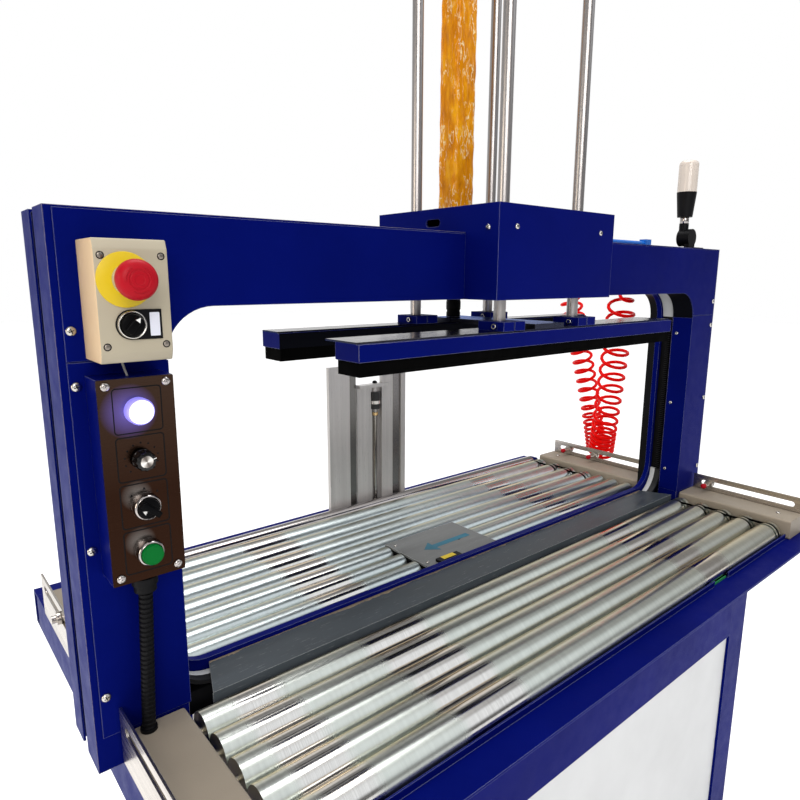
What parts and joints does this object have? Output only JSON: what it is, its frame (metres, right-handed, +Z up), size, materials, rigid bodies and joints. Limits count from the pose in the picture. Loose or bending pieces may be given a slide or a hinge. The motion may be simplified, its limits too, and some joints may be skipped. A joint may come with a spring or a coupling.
{
  "type": "carton strapping machine",
  "caption": "Carton closing machine: strapping arch with pneumatic press bars over a driven roller deck, control boxes, folding signal lamp and stop gate.",
  "frame": {"origin": "floor level, at the middle of the box round the machine without its free hoses", "axes": "+Z up, +X along the arch to the lamp side, +Y along the roller deck away from the operator"},
  "size_m": [1.627, 0.862, 2.01],
  "materials": {
    "navy_paint": "deep blue powder coat, fine orange peel",
    "pale_paint": "pale grey powder coat",
    "slate_paint": "dark slate, worn edges",
    "stainless": "brushed",
    "galvanised": "galvanised, bands of matt and bright",
    "zinc_screws": "zinc plated",
    "chrome_rods": "hard chrome",
    "aluminium": "anodised extrusion",
    "black_plastic": "matt black",
    "black_rubber": "matt rubber",
    "beige_plastic": "moulded",
    "red_plastic": "moulded",
    "red_hose": "polyurethane tube",
    "blue_tube": "polyurethane tube",
    "green_plastic": "moulded",
    "green_belt": "flat belt",
    "white_lens": "lit lens",
    "lamp_lens": "frosted clear lens"
  },
  "bodies": {
    "frame": {"base_frame": "navy_paint", "base_panels": "pale_paint", "levelling_feet": "black_plastic", "deck_frame": "navy_paint", "side_rails": "pale_paint", "sensor_plates": "stainless", "arch_front_shell": "navy_paint", "arch_rear_shell": "navy_paint", "strap_track": "black_plastic", "column_covers": "navy_paint", "strap_guides": "pale_paint", "screws": "zinc_screws", "press_housing": "navy_paint", "press_cylinder": "aluminium", "air_tube": "blue_tube", "e_stop_box": "beige_plastic", "control_box": "navy_paint", "control_face": "stainless", "conduit": "black_plastic", "beacon_base": "black_plastic", "front_plate": "slate_paint", "centre_plate": "slate_paint", "drive_belt": "green_belt", "drive_motor": "black_plastic", "strap_head": "black_plastic", "roller_shafts": "galvanised", "o_belts": "black_rubber", "hose_hanger": "stainless", "gate_posts": "aluminium", "red_hose_a": "red_hose", "red_hose_b": "red_hose"},
    "press": {"press_bars": "navy_paint", "press_pads": "black_rubber", "guide_rods": "chrome_rods", "rod_clamps": "navy_paint"},
    "front_roller_1": {"front_roller_1": "galvanised"},
    "front_roller_2": {"front_roller_2": "galvanised"},
    "front_roller_3": {"front_roller_3": "galvanised"},
    "front_roller_4": {"front_roller_4": "galvanised"},
    "front_roller_5": {"front_roller_5": "galvanised"},
    "rear_roller_1": {"rear_roller_1": "galvanised"},
    "rear_roller_2": {"rear_roller_2": "galvanised"},
    "rear_roller_3": {"rear_roller_3": "galvanised"},
    "rear_roller_4": {"rear_roller_4": "galvanised"},
    "short_rollers_1": {"short_rollers_1": "galvanised"},
    "short_rollers_2": {"short_rollers_2": "galvanised"},
    "short_rollers_3": {"short_rollers_3": "galvanised"},
    "outfeed_roller": {"outfeed_roller": "galvanised"},
    "e_stop_button": {"e_stop_button": "red_plastic"},
    "upper_selector": {"upper_selector": "black_plastic"},
    "lit_button": {"lit_button": "white_lens"},
    "pot_knob": {"pot_knob": "black_plastic"},
    "lower_selector": {"lower_selector": "black_plastic"},
    "green_button": {"green_button": "green_plastic"},
    "lamp": {"beacon_pole": "black_plastic", "beacon_lens": "lamp_lens"},
    "sensor_front_right": {"sensor_front_right": "stainless"},
    "sensor_rear_right": {"sensor_rear_right": "stainless"},
    "sensor_rear_left": {"sensor_rear_left": "stainless"},
    "stop_gate": {"stop_gate": "aluminium"}
  },
  "joints": [
    {"name": "press_slide", "type": "slide", "parent": "frame", "child": "press", "axis": [0, 0, -1], "range_m": [0, 0.38]},
    {"name": "front_roller_1_spin", "type": "hinge", "parent": "frame", "child": "front_roller_1", "pos_m": [-0.056, -0.148, 0.775], "axis": [1, 0, 0], "continuous": true},
    {"name": "front_roller_2_spin", "type": "hinge", "parent": "frame", "child": "front_roller_2", "pos_m": [-0.056, -0.1995, 0.775], "axis": [1, 0, 0], "continuous": true},
    {"name": "front_roller_3_spin", "type": "hinge", "parent": "frame", "child": "front_roller_3", "pos_m": [-0.056, -0.251, 0.775], "axis": [1, 0, 0], "continuous": true},
    {"name": "front_roller_4_spin", "type": "hinge", "parent": "frame", "child": "front_roller_4", "pos_m": [-0.056, -0.3025, 0.775], "axis": [1, 0, 0], "continuous": true},
    {"name": "front_roller_5_spin", "type": "hinge", "parent": "frame", "child": "front_roller_5", "pos_m": [-0.056, -0.354, 0.775], "axis": [1, 0, 0], "continuous": true},
    {"name": "rear_roller_1_spin", "type": "hinge", "parent": "frame", "child": "rear_roller_1", "pos_m": [-0.056, 0.137, 0.775], "axis": [1, 0, 0], "continuous": true},
    {"name": "rear_roller_2_spin", "type": "hinge", "parent": "frame", "child": "rear_roller_2", "pos_m": [-0.056, 0.1895, 0.775], "axis": [1, 0, 0], "continuous": true},
    {"name": "rear_roller_3_spin", "type": "hinge", "parent": "frame", "child": "rear_roller_3", "pos_m": [-0.056, 0.242, 0.775], "axis": [1, 0, 0], "continuous": true},
    {"name": "rear_roller_4_spin", "type": "hinge", "parent": "frame", "child": "rear_roller_4", "pos_m": [-0.056, 0.2945, 0.775], "axis": [1, 0, 0], "continuous": true},
    {"name": "short_rollers_1_spin", "type": "hinge", "parent": "frame", "child": "short_rollers_1", "pos_m": [-0.056, 0.005, 0.781], "axis": [1, 0, 0], "continuous": true},
    {"name": "short_rollers_2_spin", "type": "hinge", "parent": "frame", "child": "short_rollers_2", "pos_m": [-0.056, 0.0485, 0.781], "axis": [1, 0, 0], "continuous": true},
    {"name": "short_rollers_3_spin", "type": "hinge", "parent": "frame", "child": "short_rollers_3", "pos_m": [-0.056, 0.092, 0.781], "axis": [1, 0, 0], "continuous": true},
    {"name": "outfeed_roller_spin", "type": "hinge", "parent": "frame", "child": "outfeed_roller", "pos_m": [-0.056, 0.338, 0.783], "axis": [1, 0, 0], "continuous": true},
    {"name": "e_stop_press", "type": "slide", "parent": "frame", "child": "e_stop_button", "axis": [0, 1, 0], "range_m": [0, 0.006]},
    {"name": "upper_selector_turn", "type": "hinge", "parent": "frame", "child": "upper_selector", "pos_m": [-0.748, -0.19, 1.2984], "axis": [0, 1, 0], "range_deg": [-45, 45]},
    {"name": "lit_button_press", "type": "slide", "parent": "frame", "child": "lit_button", "axis": [0, 1, 0], "range_m": [0, 0.004], "stiffness_N_per_m": 400},
    {"name": "pot_knob_turn", "type": "hinge", "parent": "frame", "child": "pot_knob", "pos_m": [-0.743, -0.18, 1.1536], "axis": [0, 1, 0], "range_deg": [-135, 135]},
    {"name": "lower_selector_turn", "type": "hinge", "parent": "frame", "child": "lower_selector", "pos_m": [-0.743, -0.18, 1.1006], "axis": [0, 1, 0], "range_deg": [-45, 45]},
    {"name": "green_button_press", "type": "slide", "parent": "frame", "child": "green_button", "axis": [0, 1, 0], "range_m": [0, 0.004], "stiffness_N_per_m": 400},
    {"name": "lamp_fold", "type": "hinge", "parent": "frame", "child": "lamp", "pos_m": [0.628, -0.068, 1.445], "axis": [0, -1, 0], "range_deg": [0, 90]},
    {"name": "sensor_front_right_slide", "type": "slide", "parent": "frame", "child": "sensor_front_right", "axis": [0, 1, 0], "range_m": [-0.19, 0.012]},
    {"name": "sensor_rear_right_slide", "type": "slide", "parent": "frame", "child": "sensor_rear_right", "axis": [0, 1, 0], "range_m": [-0.155, 0.025]},
    {"name": "sensor_rear_left_slide", "type": "slide", "parent": "frame", "child": "sensor_rear_left", "axis": [0, 1, 0], "range_m": [-0.155, 0.11]},
    {"name": "stop_gate_slide", "type": "slide", "parent": "frame", "child": "stop_gate", "axis": [0, 0, -1], "range_m": [0, 0.29]}
  ],
  "couplings": [
    {"joint": "front_roller_2_spin", "follows": "front_roller_1_spin", "ratio": 1},
    {"joint": "front_roller_3_spin", "follows": "front_roller_1_spin", "ratio": 1},
    {"joint": "front_roller_4_spin", "follows": "front_roller_1_spin", "ratio": 1},
    {"joint": "front_roller_5_spin", "follows": "front_roller_1_spin", "ratio": 1},
    {"joint": "rear_roller_2_spin", "follows": "rear_roller_1_spin", "ratio": 1},
    {"joint": "rear_roller_3_spin", "follows": "rear_roller_1_spin", "ratio": 1},
    {"joint": "rear_roller_4_spin", "follows": "rear_roller_1_spin", "ratio": 1}
  ]
}
